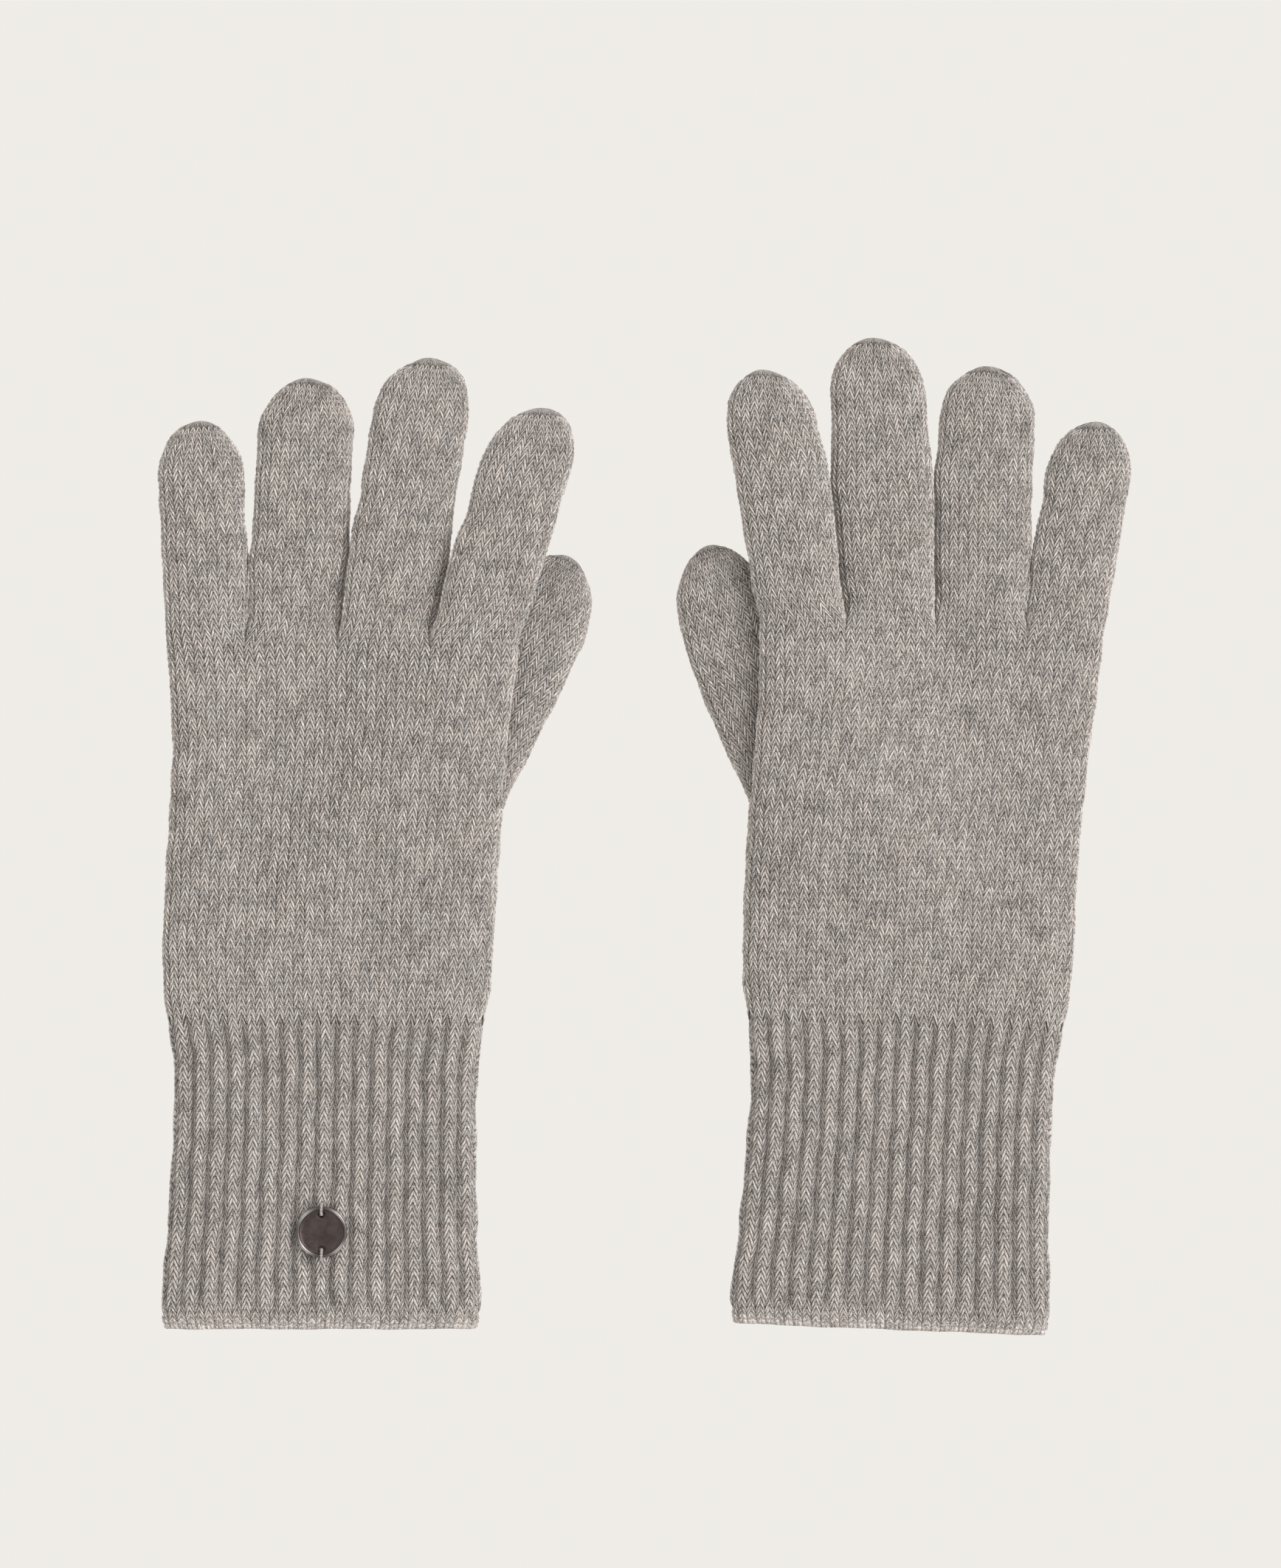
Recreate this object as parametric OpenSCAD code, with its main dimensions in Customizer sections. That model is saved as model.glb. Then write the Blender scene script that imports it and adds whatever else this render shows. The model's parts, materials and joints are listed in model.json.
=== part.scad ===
// A pair of knitted wool gloves lying palms down, side by side, fingertips towards +Y.
// Each glove is built from its knitted sections: a ribbed cuff with a welt, the hand below
// and above the thumb, and one tube for each finger and the thumb. Every section is a hollow
// flattened tube. A finger tube is cut at its middle crease, where it bends.
// The thumb lies on the table under the edge of the hand, which rises over it.

/* [Knitting] */
// Thickness of a flattened tube of plain knit, two layers and the air between them
tube_t = 8.2; // [7.6:0.1:11]
// Thickness of one layer of plain knit
knit_wall = 1.8; // [1.2:0.1:2.2]
// Thickness of the flattened ribbed cuff
cuff_t = 9.2; // [8.4:0.1:12]
// Thickness of one layer of rib
rib_wall = 2.2; // [1.6:0.1:2.6]

/* [Cuff] */
// Length of the cuff with its welt
cuff_len = 84; // [60:1:110]
// Flat width at the cuff's mouth
mouth_w = 85.5; // [76:1:104]
// Flat width where the rib pulls in most
waist_w = 82.5; // [70:0.5:98]
// Flat width of the cuff where the hand begins
cuff_top_w = 86; // [76:1:104]
// Height of the tubular welt at the mouth
welt_h = 4; // [3:0.5:8]

/* [Hand] */
// Flat width of the hand
palm_w = 89; // [80:0.5:110]
// Length from the cuff to the roots of the fingers
palm_len = 98.5; // [82:0.5:120]
// Length from the cuff to the root of the thumb
thumb_start = 55; // [44:1:66]

/* [Fingers] */
// Flat width of the little finger
little_w = 23.5; // [19:0.5:29]
// Flat width of the ring finger
ring_w = 26; // [21:0.5:32]
// Flat width of the middle finger
middle_w = 26; // [21:0.5:32]
// Flat width of the index finger
index_w = 25.5; // [21:0.5:31]
// Flat width of the thumb
thumb_w = 25.5; // [21:0.5:31]
// Length of the little finger from its root
little_len = 59.5; // [48:0.5:74]
// Length of the ring finger from its root
ring_len = 72; // [58:0.5:88]
// Length of the middle finger from its root
middle_len = 78; // [62:0.5:96]
// Length of the index finger from its root
index_len = 66; // [58:0.5:84]
// Length of the thumb along its outer edge
thumb_len = 67; // [56:0.5:84]
// Length over which a fingertip rounds off
tip_round = 15; // [12:0.5:20]
// Height above a finger's root at which it is full width
fan_level = 45; // [40:1:54]

/* [Button] */
// Diameter of the button
button_d = 13.6; // [11:0.2:18]
// Thickness of the button at its rim
button_t = 2.2; // [1.6:0.1:3]
// Diameter of the two sewing holes
hole_d = 1.8; // [1.4:0.1:2.2]
// Distance from the button's centre to each hole
hole_offset = 4.7; // [3.6:0.1:5]
// Distance of the button's centre from the cuff's mouth
button_up = 26; // [18:1:44]
// Diameter of the sewing yarn
yarn_d = 0.8; // [0.5:0.1:1]

/* [Hidden] */

wool = [0.62, 0.60, 0.57];
gunmetal = [0.30, 0.27, 0.26];

// Air between pieces that lie on or beside each other
air = 0.3;
// Air between neighbouring fingers where they leave the hand
root_air = 0.5;
// A moving tube starts at its hinge line; its parent stops this far short of the line
hinge_air = tube_t/2 + 0.7;

LITTLE = 0;
RING = 1;
MIDDLE = 2;
INDEX = 3;
finger_ws = [little_w, ring_w, middle_w, index_w];

// How each glove lies. A glove is [turn, place, drift, knuckle, roots, lean, gaps, trims, thumb]:
// turn and place of the cuff's mouth; sideways start and drift of the hand's middle line, and
// the level where the drift begins; extra width at the knuckles; how far the finger roots lie
// above palm_len; lean of the middle finger; gaps between the fingers at fan_level; trims to
// the finger lengths; lean of the thumb.
left_lie = [
    0, [-86.2, -130.95], [1.5, 4.3, 84], 5.8, -1.5, 8.65, [2.35, 2.7, 3.85], [1, 0, -0.5, -1], 25.5
];
right_lie = [
    -2.26, [65.3, -131.05], [-1, -2.8, 118], 3.6, 2.5, 5, [2.75, 1.7, 2.05], [-1, 0, 0.5, 3.5], 22.5
];

function lie_turn(g) = g[0];
function lie_place(g) = g[1];
function lie_lean(g) = g[5];
function lie_gap(g, i) = g[6][i];
function thumb_lean(g) = g[8];

// Levels up a glove, from the mouth of its cuff
hip_y = 0.28*cuff_len;
waist_y = 0.52*cuff_len;
flare_y = 0.84*cuff_len;
wrist_y = cuff_len + hinge_air;
rise_y = wrist_y + 6;
full_y = cuff_len + 18;
thumb_y = cuff_len + thumb_start;
function root_y(g) = cuff_len + palm_len + g[4];
// The cuff is drawn in by this much at its mouth and above its hip
draw_in = 1.5;
// The hand widens to its knuckles over this height
knuckle_h = 24;

// Middle line of the hand, and its flat width, at a level
function hand_mid(g, y) = g[2][0] + g[2][1]*ease((y - g[2][2])/(root_y(g) - g[2][2]));
function knuckle_w(g) = palm_w + g[3];
function hand_w(g, y) = lookup(y, [
    [wrist_y, (cuff_top_w + palm_w)/2], [full_y, palm_w],
    [root_y(g) - knuckle_h, palm_w + 1], [root_y(g), knuckle_w(g)]
]);

// Smooth step from 0 to 1
function ease(t) = let (k = min(max(t, 0), 1)) k*k*(3 - 2*k);

// The hand rises over the thumb: nothing on the little finger's side, a whole tube's
// thickness above the thumb, and a smooth slope in between. At the thumb's root the slope runs
// from slope_from to slope_to short of the thumb's foot; at the finger roots it starts
// slope_shift further on and ends at the middle of the index finger.
lift_full = tube_t + 1.5*air;
slope_from = 38;
slope_to = 3;
slope_shift = 15;
function ahead(g, y) = (y - thumb_y)/(root_y(g) - thumb_y);
function slope_start(g, y) = thumb_foot(g) - slope_from + slope_shift*ahead(g, y);
function slope_end(g, y) = let (low = thumb_foot(g) - slope_to)
    low + (hand_edge(g) - index_root_w(g)/2 - low)*ahead(g, y);
function lift_at(g, x, y) = lift_full*ease((y - rise_y)/(thumb_y - rise_y))
    * ease((x - slope_start(g, y))/(slope_end(g, y) - slope_start(g, y)));

// Finger roots share out the width of the knuckles
finger_w_sum = little_w + ring_w + middle_w + index_w;
function share(g) = knuckle_w(g)/finger_w_sum;
function sum_before(i) = i == 0 ? 0 : finger_ws[i - 1] + sum_before(i - 1);
function root_mid(g, i) = hand_mid(g, root_y(g)) - knuckle_w(g)/2
    + (sum_before(i) + finger_ws[i]/2)*share(g);
function hand_edge(g) = hand_mid(g, root_y(g)) + knuckle_w(g)/2;
function index_root_w(g) = index_w*share(g);

// Middle of a finger at fan_level: the middle finger leans as it lies, and the others are
// set beside it, each a gap from its neighbour
function fan_mid(g, i) =
    i == MIDDLE ? root_mid(g, i) + fan_level*tan(lie_lean(g)) :
    i < MIDDLE ? fan_mid(g, i + 1) - (finger_ws[i] + finger_ws[i + 1])/2 - lie_gap(g, i) :
    fan_mid(g, i - 1) + (finger_ws[i] + finger_ws[i - 1])/2 + lie_gap(g, i - 1);
function finger_mid(g, i, s) = root_mid(g, i) + (fan_mid(g, i) - root_mid(g, i))*s/fan_level;
function finger_half(g, i, s) = finger_ws[i]/2
    * (share(g) + (1 - share(g))*min(s/fan_level, 1)) - root_air/2;
function finger_len(g, i) = [little_len, ring_len, middle_len, index_len][i] + g[7][i];
// The crease in the middle of a finger
function crease(g, i) = 0.46*finger_len(g, i);
function finger_lift(g, i) = lift_at(g, root_mid(g, i), root_y(g));
function tip_pitch(g, i) = asin(finger_lift(g, i)/(finger_len(g, i) - crease(g, i)));

// The thumb's frame stands at the outer corner of its root and runs along its outer edge
function thumb_corner(g) = hand_mid(g, thumb_y) + hand_w(g, thumb_y)/2;
function thumb_foot(g) = thumb_corner(g) - thumb_w/cos(thumb_lean(g));
thumb_crease = 0.45*thumb_len;

// A flat oval as [where on the straight part, x on the round end, z on the round end]
function oval(flats, rounds) = concat(
    [for (k = [0:rounds]) let (a = -90 + 180*k/rounds) [1, cos(a), sin(a)]],
    [for (k = [1:flats]) [1 - 2*k/(flats + 1), 0, 1]],
    [for (k = [0:rounds]) let (a = 90 + 180*k/rounds) [-1, cos(a), sin(a)]],
    [for (k = [1:flats]) [-1 + 2*k/(flats + 1), 0, -1]]
);
finger_oval = oval(1, 6);
hand_oval = oval(8, 5);

// A station of a tube is [y, middle x, half width, thickness, skew of its plane].
// The oval at a station stands at half height t/2.
function ring_points(st, shape, t) = let (b = st[3]/2) [
    for (p = shape) let (x = st[1] + p[0]*(st[2] - b) + p[1]*b) [x, st[0] + x*st[4], t/2 + p[2]*b]
];
function flat(lists) = [for (l = lists) for (p = l) p];

// Triangles between ring i and ring i + 1 of n points, and round a rim between two loops
function side_faces(rings, n, first, turned) = [
    for (i = [0:rings - 2]) for (k = [0:n - 1])
        let (a = first + i*n + k, b = first + i*n + (k + 1)%n, c = a + n, d = b + n)
        each (turned ? [[a, c, b], [b, c, d]] : [[a, b, c], [b, d, c]])
];
function rim_faces(first, second, n, turned) = [
    for (k = [0:n - 1])
        let (a = first + k, b = first + (k + 1)%n, c = second + k, d = second + (k + 1)%n)
        each (turned ? [[a, b, c], [b, d, c]] : [[a, c, b], [b, c, d]])
];

// Triangles from the last ring to an apex
function cap_faces(first, apex, n, turned) = [
    for (k = [0:n - 1])
        let (a = first + k, b = first + (k + 1)%n)
        turned ? [apex, b, a] : [apex, a, b]
];

// A hollow tube through outer and inner points, open at its start. It is open at its end too,
// or closed to the two apexes, the outer and the inner one.
module hollow(outer, inner, n, apexes = []) {
    rings = len(outer)/n;
    start = rings*n;
    last = (rings - 1)*n;
    ends = len(apexes) == 0
        ? rim_faces(last, start + last, n, true)
        : concat(cap_faces(last, 2*start, n, false), cap_faces(start + last, 2*start + 1, n, true));
    polyhedron(
        points = concat(outer, inner, apexes),
        faces = concat(
            side_faces(rings, n, 0, false), side_faces(rings, n, start, true),
            rim_faces(0, start, n, false), ends
        )
    );
}

// Moves each point up by the hand's lift; on a wedge the underside stays on the table
function lifted(g, points, wedge) = [
    for (p = points) [p[0], p[1], p[2] + lift_at(g, p[0], p[1])*(wedge ? p[2]/tube_t : 1)]
];

function cuff_mid(g) = g[2][0];
function cuff_stations(g, ys, inset) = [
    for (y = ys) [
        y, cuff_mid(g)*ease(y/cuff_len),
        lookup(y, [
            [0, mouth_w - draw_in], [welt_h, mouth_w], [hip_y, mouth_w - draw_in],
            [waist_y, waist_w], [flare_y, waist_w], [cuff_len, cuff_top_w]
        ])/2 - inset,
        cuff_t - 2*inset, 0
    ]
];
module cuff_tube(g, ys) {
    outer = flat([for (st = cuff_stations(g, ys, 0)) ring_points(st, hand_oval, cuff_t)]);
    inner = flat([for (st = cuff_stations(g, ys, rib_wall)) ring_points(st, hand_oval, cuff_t)]);
    hollow(outer, inner, len(hand_oval));
}

module palm_tube(g, ys, wedge) {
    outer = flat([for (y = ys) ring_points(
        [y, hand_mid(g, y), hand_w(g, y)/2, tube_t, 0], hand_oval, tube_t)]);
    inner = flat([for (y = ys) ring_points(
        [y, hand_mid(g, y), hand_w(g, y)/2 - knit_wall, tube_t - 2*knit_wall, 0],
        hand_oval, tube_t)]);
    hollow(lifted(g, outer, wedge), lifted(g, inner, wedge), len(hand_oval));
}

// Stations of the rounded end of a tube, at angles round a quarter of an ellipse
function end_stations(mid_at, half, s_end, inset) = [
    for (a = [0, 32, 58, 76]) let (s = s_end - tip_round + (tip_round - inset)*sin(a)) [
        s, mid_at(s), (half - inset)*cos(a), (tube_t - 2*inset)*(0.45 + 0.55*cos(a)), 0
    ]
];

function base_stations(g, i, inset) = [
    for (s = [root_air/2, crease(g, i) - hinge_air])
        [s, finger_mid(g, i, s), finger_half(g, i, s) - inset, tube_t - 2*inset, 0]
];
function tip_stations(g, i, inset) = let (s0 = crease(g, i)) concat(
    [for (s = [s0, (s0 + finger_len(g, i) - tip_round)/2])
        [s - s0, finger_mid(g, i, s), finger_half(g, i, s) - inset, tube_t - 2*inset, 0]],
    end_stations(function(s) finger_mid(g, i, s + s0),
        finger_half(g, i, finger_len(g, i) - tip_round), finger_len(g, i) - s0, inset)
);

module finger_tube(outer, inner, apexes = []) {
    hollow(
        flat([for (st = outer) ring_points(st, finger_oval, tube_t)]),
        flat([for (st = inner) ring_points(st, finger_oval, tube_t)]),
        len(finger_oval), apexes
    );
}
// The outer and the inner apex of a closed end
function end_apexes(mid_at, s_end) = [
    for (inset = [0, knit_wall]) [mid_at(s_end - inset), s_end - inset, tube_t/2]
];

module finger_base(g, i) {
    color(wool) translate([0, root_y(g), finger_lift(g, i)])
        finger_tube(base_stations(g, i, 0), base_stations(g, i, knit_wall));
}

// The end of a finger slopes down to the table from its crease
module finger_tip(g, i) {
    apexes = end_apexes(
        function(s) finger_mid(g, i, s + crease(g, i)), finger_len(g, i) - crease(g, i));
    color(wool) translate([0, root_y(g) + crease(g, i), finger_lift(g, i) + tube_t/2])
        rotate([-tip_pitch(g, i), 0, 0]) translate([0, 0, -tube_t/2])
            finger_tube(tip_stations(g, i, 0), tip_stations(g, i, knit_wall), apexes);
}

// The thumb's root is cut along the hand's last row, which is skewed in the thumb's own frame
module thumb_frame(g) {
    color(wool) translate([thumb_corner(g), thumb_y + air, 0]) rotate([0, 0, -thumb_lean(g)])
        children();
}
function thumb_base_stations(g, inset) = [
    [0, -thumb_w/2, thumb_w/2 - inset, tube_t - 2*inset, tan(thumb_lean(g))],
    [thumb_crease - hinge_air, -thumb_w/2, thumb_w/2 - inset, tube_t - 2*inset, 0]
];
function thumb_tip_stations(inset) = concat(
    [[thumb_crease, -thumb_w/2, thumb_w/2 - inset, tube_t - 2*inset, 0]],
    end_stations(function(s) -thumb_w/2, thumb_w/2, thumb_len, inset)
);
module thumb_base(g) {
    thumb_frame(g)
        finger_tube(thumb_base_stations(g, 0), thumb_base_stations(g, knit_wall));
}
module thumb_tip(g) {
    apexes = end_apexes(function(s) -thumb_w/2, thumb_len);
    thumb_frame(g) finger_tube(thumb_tip_stations(0), thumb_tip_stations(knit_wall), apexes);
}

module cuff_welt(g) {
    color(wool) cuff_tube(g, [0, 0.4*welt_h, welt_h]);
}
module rib_cuff(g) {
    color(wool) cuff_tube(g, [welt_h, hip_y, waist_y, flare_y, cuff_len]);
}
module lower_palm(g) {
    color(wool) palm_tube(g, [wrist_y, full_y, (full_y + thumb_y)/2, thumb_y - 10, thumb_y], true);
}
module upper_palm(g) {
    last = root_y(g) - hinge_air;
    first = thumb_y + air;
    color(wool) palm_tube(g, [first, (2*first + last)/3, (first + 2*last)/3, last], false);
}

module button_place(g) {
    translate([cuff_mid(g)*ease(button_up/cuff_len), button_up, cuff_t]) children();
}
// The button is a dished disc with a raised rim and two holes, one above the other
rim_w = 0.7;
dish_depth = 0.5;
module button(g) {
    color(gunmetal) button_place(g) difference() {
        rotate_extrude($fn = 96) polygon([
            [0, 0], [button_d/2 - 0.5, 0], [button_d/2, 0.5], [button_d/2, button_t - 0.3],
            [button_d/2 - 0.3, button_t], [button_d/2 - rim_w, button_t],
            [button_d/2 - rim_w - 0.3, button_t - dish_depth], [0, button_t - dish_depth]
        ]);
        for (side = [-1, 1]) translate([0, side*hole_offset, -1])
            cylinder(h = button_t + 2, d = hole_d, $fn = 48);
    }
}

// Each stitch comes up through a hole, over the rim and down into the knit beyond it
module button_yarn(g) {
    reach = (button_d/2 + yarn_d/2 + 0.25 - hole_offset)/2;
    leg = button_t + 0.1;
    color(wool) button_place(g) for (side = [-1, 1])
        translate([0, side*(hole_offset + reach), 0]) {
            translate([0, 0, leg]) rotate([0, 0, 90]) rotate([90, 0, 0])
                rotate_extrude(angle = 180, $fn = 48) translate([reach, 0])
                    circle(d = yarn_d, $fn = 24);
            for (end = [-1, 1]) translate([0, end*reach, 0])
                cylinder(h = leg, d = yarn_d, $fn = 24);
        }
}

module left_place() {
    translate([lie_place(left_lie)[0], lie_place(left_lie)[1], 0])
        rotate([0, 0, lie_turn(left_lie)]) children();
}
module right_place() {
    translate([lie_place(right_lie)[0], lie_place(right_lie)[1], 0])
        rotate([0, 0, lie_turn(right_lie)]) mirror([1, 0, 0]) children();
}

left_place() cuff_welt(left_lie);  // left_cuff_welt
left_place() rib_cuff(left_lie);  // left_rib_cuff
left_place() lower_palm(left_lie);  // left_lower_palm
left_place() upper_palm(left_lie);  // left_upper_palm
left_place() thumb_base(left_lie);  // left_thumb_base
left_place() thumb_tip(left_lie);  // left_thumb_tip
left_place() finger_base(left_lie, INDEX);  // left_index_base
left_place() finger_tip(left_lie, INDEX);  // left_index_tip
left_place() finger_base(left_lie, MIDDLE);  // left_middle_base
left_place() finger_tip(left_lie, MIDDLE);  // left_middle_tip
left_place() finger_base(left_lie, RING);  // left_ring_base
left_place() finger_tip(left_lie, RING);  // left_ring_tip
left_place() finger_base(left_lie, LITTLE);  // left_little_base
left_place() finger_tip(left_lie, LITTLE);  // left_little_tip
left_place() button(left_lie);  // left_button
left_place() button_yarn(left_lie);  // left_button_yarn

right_place() cuff_welt(right_lie);  // right_cuff_welt
right_place() rib_cuff(right_lie);  // right_rib_cuff
right_place() lower_palm(right_lie);  // right_lower_palm
right_place() upper_palm(right_lie);  // right_upper_palm
right_place() thumb_base(right_lie);  // right_thumb_base
right_place() thumb_tip(right_lie);  // right_thumb_tip
right_place() finger_base(right_lie, INDEX);  // right_index_base
right_place() finger_tip(right_lie, INDEX);  // right_index_tip
right_place() finger_base(right_lie, MIDDLE);  // right_middle_base
right_place() finger_tip(right_lie, MIDDLE);  // right_middle_tip
right_place() finger_base(right_lie, RING);  // right_ring_base
right_place() finger_tip(right_lie, RING);  // right_ring_tip
right_place() finger_base(right_lie, LITTLE);  // right_little_base
right_place() finger_tip(right_lie, LITTLE);  // right_little_tip
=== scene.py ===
"""A pair of fine knitted wool gloves, lying palms down, each knitted as a skin of stitches.

Every section of a glove is one closed shell on a grid that follows its stitches. Wales are
counted round a tube and courses along it, towards the fingertips. The two legs of a stitch
meet at its top, so the rows of the grid run in zigzags, and each leg is one rounded ridge
between two rows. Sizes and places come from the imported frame, lengths are in millimetres in
a glove's own frame (x towards the thumb, y towards the fingertips, z up from the table), and
to_world turns them into metres where the frame has them.
"""
import json
import bmesh
import bpy
import numpy as np
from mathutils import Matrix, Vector


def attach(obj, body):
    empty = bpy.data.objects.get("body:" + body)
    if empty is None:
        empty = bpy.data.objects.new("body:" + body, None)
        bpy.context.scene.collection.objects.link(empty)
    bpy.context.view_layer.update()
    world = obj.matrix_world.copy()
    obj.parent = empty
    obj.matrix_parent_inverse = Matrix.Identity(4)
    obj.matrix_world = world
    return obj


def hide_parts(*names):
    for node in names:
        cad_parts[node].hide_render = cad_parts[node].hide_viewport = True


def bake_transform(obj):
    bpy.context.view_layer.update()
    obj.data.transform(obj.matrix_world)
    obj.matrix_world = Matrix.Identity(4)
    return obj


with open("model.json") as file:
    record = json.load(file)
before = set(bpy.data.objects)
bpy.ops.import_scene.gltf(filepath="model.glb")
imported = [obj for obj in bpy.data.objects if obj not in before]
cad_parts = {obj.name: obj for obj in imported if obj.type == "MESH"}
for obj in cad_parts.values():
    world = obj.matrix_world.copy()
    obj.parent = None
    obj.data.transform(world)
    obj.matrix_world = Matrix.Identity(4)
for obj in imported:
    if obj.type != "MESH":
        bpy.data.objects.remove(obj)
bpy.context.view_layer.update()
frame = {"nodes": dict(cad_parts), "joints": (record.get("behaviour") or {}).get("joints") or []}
JOINTS = {joint["name"]: joint for joint in frame["joints"]}
MM = 0.001

# The camera looks straight down, with the fingertips at the top of the picture
VIEW_HEIGHT = 0.4186
VIEW_CENTRE = (-0.00101, 0.01423)
CAMERA_ABOVE = 3.0
FLOOR_BELOW = 0.16
FLOOR_REACH = 6.0
SENSOR = 24.0
BACKDROP = (0.863, 0.840, 0.799)

# Knitting: wales round the hand, with those that turn each of its edges, and course heights
WALES = 70
EDGE_WALES = 2
FRONT_WALES = WALES // 2 - EDGE_WALES
COURSE = 1.77
FINGER_COURSE = 1.71
WELT_COURSES = 2
PLAIN_WALL = 1.8
RIB_WALL = 2.2

# A stitch's legs: their rise in courses, their relief, and how full the thinnest and fullest are
LEG_RISE = 3.4
LEG_HEIGHT = 0.62
LEG_FULLNESS = (0.72, 1.12)

# The rib: how deep every other wale sinks, how far the raised ones spread over it, where that
# starts above the mouth and stops above the cuff's top, and over what length it fades in and out
RIB_DEPTH = 1.5
RIB_SPREAD = 0.25
RIB_START = 3.2
RIB_OVERRUN = 0.8
RIB_FADE = 5.0

# The welt: its curled-in mouth, its roll, and the groove above it
MOUTH_CURL = 1.3
WELT_HEIGHT = 3.9
WELT_ROLL = 0.3
GROOVE_AT = 4.3
GROOVE_WIDTH = 0.6
GROOVE_DEPTH = 0.45

# How far above its lower end a CAD tube's first row of points may lie, at a root and a crease.
# The grid: columns to a wale, rows to a course, courses between two rows of the inside, and
# how far before a closed end its stitches stop
ROOT_MARGIN = 1.0
BEND_MARGIN = 1.4
COLUMNS = 6
ROWS = 4
INNER_STEP = 4
CLOSED_COURSES = 1.86
# Painted shade of the glove's inside, darker than any leg outside
INNER_PAINTED_SHADE = 0.45

# How far fibres, legs, patches and lint change the wool's tone, and the painted shade line between
# legs
FIBRE_TONE = 2.1
LEG_TONE = 0.26
PATCH_TONE = 0.55
LINT_TONE = 2.0
CROSSING_WIDTH = 0.26
CROSSING_SHADE = 0.16
LIGHT_WOOL = (0.91, 0.836, 0.803)
DARK_WOOL = (0.10, 0.09, 0.086)

# The hand: how square its section is, where the cuff's thickness starts to turn into the hand's
# below its top and over what length, and where the underside leaves the table below the thumb
HAND_SQUARE = 9
OVAL_STEPS = 2881
THINNING_START = 5.0
THINNING = 12.0
LEAVING_START = 0.6
LEAVING = 2.6
WRIST_BLEND = 12.0

# The hand's rise over the thumb: it begins above the wrist, and its slope runs from SLOPE_FROM
# to SLOPE_TO short of the thumb's foot, and starts SLOPE_SHIFT further on at the finger roots
RISE_START = 6.0
SLOPE_FROM = 38.0
SLOPE_TO = 3.0
SLOPE_SHIFT = 15.0

# Fingers from little to index: wales taken from the front of the hand, then the wales of
# the side towards the little finger's edge and of the side towards the thumb
FINGERS = ("little", "ring", "middle", "index")
FINGER_WALES = {"little": (7, 2, 3), "ring": (9, 2, 2), "middle": (9, 2, 2), "index": (8, 3, 2)}
FINGER_START = {"little": 0, "ring": 7, "middle": 16, "index": 25}
FINGER_FULLNESS = {"little": 0.45, "ring": 0.45, "middle": 0.45, "index": 0.25}
FINGER_SQUARE = 3.4
SPLIT_COURSE = 10
ROOT_MIX = 9.0
FAN_LEVEL = 45.0
CREASE_ROUND = 3.5

# The thumb, and how its root tucks into the hand
THUMB_WALES = (9, 2, 2)
THUMB_SPLIT = 19.5
THUMB_BOW = {"left": 0.6, "right": 2.0}
SLANT_LENGTH = 25.0
TUCK = 0.9
TUCK_LENGTH = 1.5

# Rounded ends: over what length, how far they turn, how thin they get, and how they sink
TIP_ROUND = 15.0
THUMB_ROUND = 20.0
TIP_TURN = 1.3
TIP_THINNING = 0.97
TIP_SINK = 0.55

# Lengths that blended is given, on each side of a middle joint or beyond a root
KNUCKLE_BLEND = 13.0
BEND_BLEND = 9.0
THUMB_BLEND = 16.0

# Neighbouring fingers lie against each other up to these heights above their roots, then part
TOUCH = {"left": (21, 27, 22), "right": (22, 39, 39)}
PARTING = 16.0
CLOSE_GAP = -0.25

# The button, in millimetres from its own centre and underside, and the yarn that holds it
HOLE_OFFSET = 4.7
HOLE_RADIUS = 0.9
RIM_WIDTH = 1.0
FACE_SUNK = 0.5
DISH_DEPTH = 0.12
YARN_WIDTH = 0.8
YARN_TWIST = 1.5
YARN_SLACK = 0.25
YARN_BURIED = 0.1


def ease(t):
    """Smooth step: 3t^2 - 2t^3 between 0 and 1."""
    k = np.clip(t, 0, 1)
    return k * k * (3 - 2 * k)


def soft_ramp(t, width):
    """Nothing before 0 and t after it, rounded over width: width times log(1 + e^(t/width))."""
    return width * np.logaddexp(0, t / width)


def smooth_line(levels, values, y):
    """A cubic through the values at the levels, with the slope at each from its neighbours."""
    levels = np.asarray(levels, float)
    values = np.asarray(values, float)
    slopes = np.gradient(values, levels)
    k = np.clip(np.searchsorted(levels, y) - 1, 0, len(levels) - 2)
    step = levels[k + 1] - levels[k]
    t = np.clip((y - levels[k]) / step, 0, 1)
    start = values[k] * (1 + 2 * t) * (1 - t) ** 2 + slopes[k] * step * t * (1 - t) ** 2
    end = values[k + 1] * t ** 2 * (3 - 2 * t) + slopes[k + 1] * step * t ** 2 * (t - 1)
    return start + end


class Oval:
    """A flat oval, |x|^square + z^2 = 1, walked from its left end over the top and back below.

    Its points are spaced by arc length for the given half width and half thickness.
    """

    def __init__(self, half, deep, square):
        turn = np.linspace(0, np.pi, OVAL_STEPS)
        self.x = -np.sign(np.cos(turn)) * np.abs(np.cos(turn)) ** (2 / square)
        self.z = np.sin(turn)
        steps = np.hypot(half * np.diff(self.x), deep * np.diff(self.z))
        self.walked = np.concatenate([[0], np.cumsum(steps)]) / steps.sum()

    def at(self, part):
        """x and z at a part of the way round, 0 to 1."""
        part = part % 1
        top = part <= 0.5
        walked = np.where(top, 2 * part, 2 - 2 * part)
        x = np.interp(walked, self.walked, self.x)
        z = np.interp(walked, self.walked, self.z)
        return x, np.where(top, z, -z)


def leg_fullness(seed, courses, wales):
    """One random number for each leg of each stitch, the same each run."""
    return np.random.default_rng(seed).uniform(*LEG_FULLNESS, (courses + 8, wales, 2))


def leg_of(t, w, wales, table):
    """The leg's random number at wale t and course w: the mean of both legs on a wale's middle."""
    course = np.floor(w).astype(int) % len(table)
    wale = np.floor(t).astype(int) % wales
    across = t % 1 - 0.5
    left = table[course, wale, 0]
    right = table[course, wale, 1]
    return np.where(across < -1e-6, left, np.where(across > 1e-6, right, (left + right) / 2))


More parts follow.
